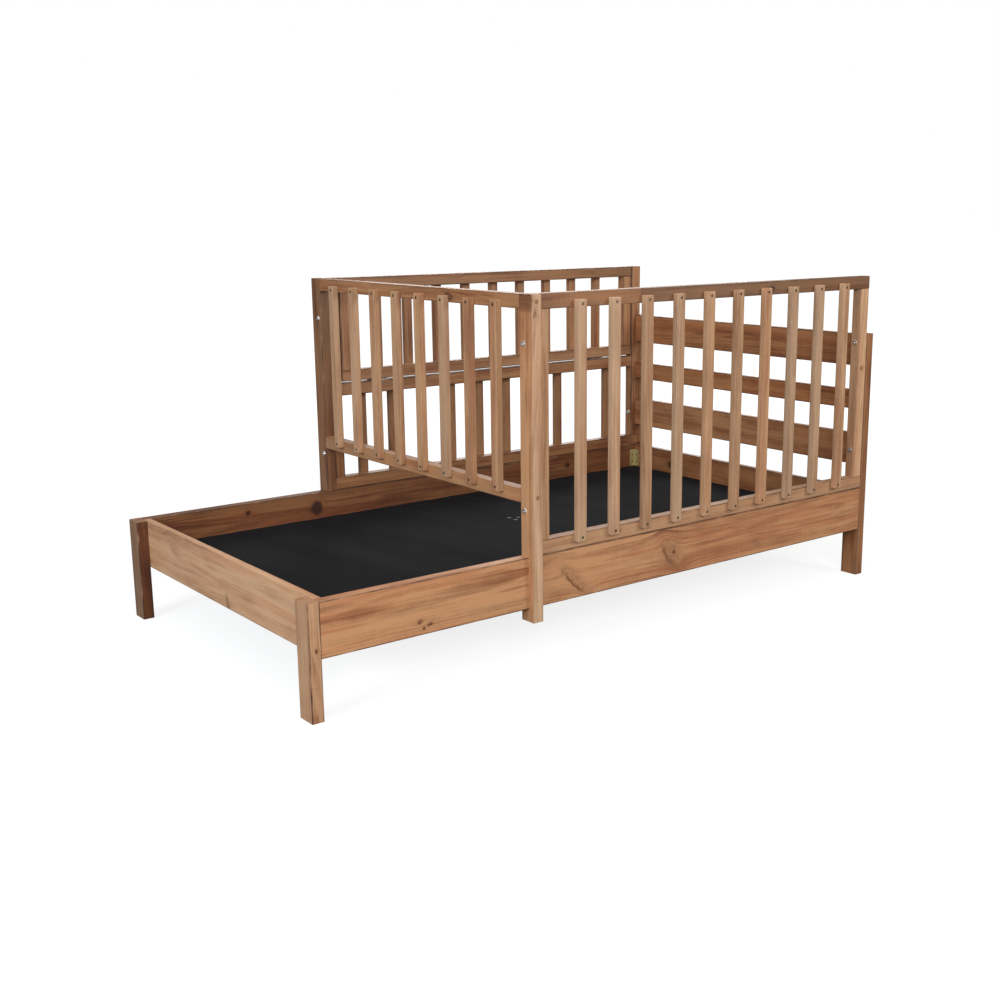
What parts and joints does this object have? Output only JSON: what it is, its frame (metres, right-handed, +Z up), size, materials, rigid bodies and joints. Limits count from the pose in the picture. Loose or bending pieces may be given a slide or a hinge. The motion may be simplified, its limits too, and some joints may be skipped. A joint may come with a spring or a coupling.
{
  "type": "convertible crib bed",
  "caption": "Low pine single bed on four corner legs whose head end carries a slatted crib; the upper half of its far side is a latched gate that folds outward and down.",
  "frame": {"origin": "on the floor, in the middle of the bed's length and width", "axes": "+X from the foot to the head along the bed, +Y across it from the fixed slatted side to the gate side, +Z up"},
  "size_m": [2.01, 1.118, 0.961],
  "materials": {
    "stained_pine": "satin oil stain over straight-grained knotty pine",
    "plug_pine": "satin end grain",
    "plain_pine": "sawn",
    "plywood": "sanded",
    "black_felt": "matte non-woven felt",
    "plated_steel": "bright zinc plate",
    "screw_steel": "dull zinc plate",
    "yellow_zinc": "yellow passivated zinc"
  },
  "bodies": {
    "bed": {"side_rail_near": "stained_pine", "side_rail_far": "stained_pine", "foot_board": "stained_pine", "foot_leg_near": "stained_pine", "foot_leg_far": "stained_pine", "head_post_near": "stained_pine", "head_post_far": "stained_pine", "head_board_top": "stained_pine", "head_board_upper": "stained_pine", "head_board_middle": "stained_pine", "head_board_lower": "stained_pine", "tall_post_near": "stained_pine", "tall_post_far": "stained_pine", "near_top_rail": "stained_pine", "near_bottom_rail": "stained_pine", "near_stile_foot": "stained_pine", "near_stile_head": "stained_pine", "near_slats": "stained_pine", "end_top_rail": "stained_pine", "end_bottom_rail": "stained_pine", "end_slats": "stained_pine", "far_bottom_rail": "stained_pine", "far_mid_rail": "stained_pine", "far_stile_foot": "stained_pine", "far_stile_head": "stained_pine", "far_slats": "stained_pine", "hinge_fixed_leaves": "plated_steel", "hinge_pins": "plated_steel", "latch_keepers": "plated_steel", "base_panel": "plywood", "base_cover": "black_felt", "base_cleat_near": "plain_pine", "base_cleat_far": "plain_pine", "base_bearers": "plain_pine", "corner_brackets": "yellow_zinc", "panel_bolts": "plated_steel", "insert_nuts": "plated_steel", "end_panel_screws": "screw_steel", "post_plugs": "plug_pine", "corner_dowels": "plain_pine", "frame_screws": "screw_steel", "slat_screws": "screw_steel", "hardware_screws": "screw_steel"},
    "gate": {"gate_top_rail": "stained_pine", "gate_bottom_rail": "stained_pine", "gate_stile_foot": "stained_pine", "gate_stile_head": "stained_pine", "gate_slats": "stained_pine", "hinge_gate_leaves": "plated_steel", "latch_plates": "plated_steel", "gate_slat_screws": "screw_steel", "gate_hardware_screws": "screw_steel"},
    "latch_bolt_foot": {"latch_bolt_foot": "plated_steel"},
    "latch_bolt_head": {"latch_bolt_head": "plated_steel"}
  },
  "joints": [
    {"name": "gate_hinge", "type": "hinge", "parent": "bed", "child": "gate", "pos_m": [0, 0.5446, 0.6335], "axis": [-1, 0, 0], "range_deg": [0, 150]},
    {"name": "latch_foot_slide", "type": "slide", "parent": "gate", "child": "latch_bolt_foot", "axis": [1, 0, 0], "range_m": [0, 0.028]},
    {"name": "latch_head_slide", "type": "slide", "parent": "gate", "child": "latch_bolt_head", "axis": [-1, 0, 0], "range_m": [0, 0.028]}
  ]
}
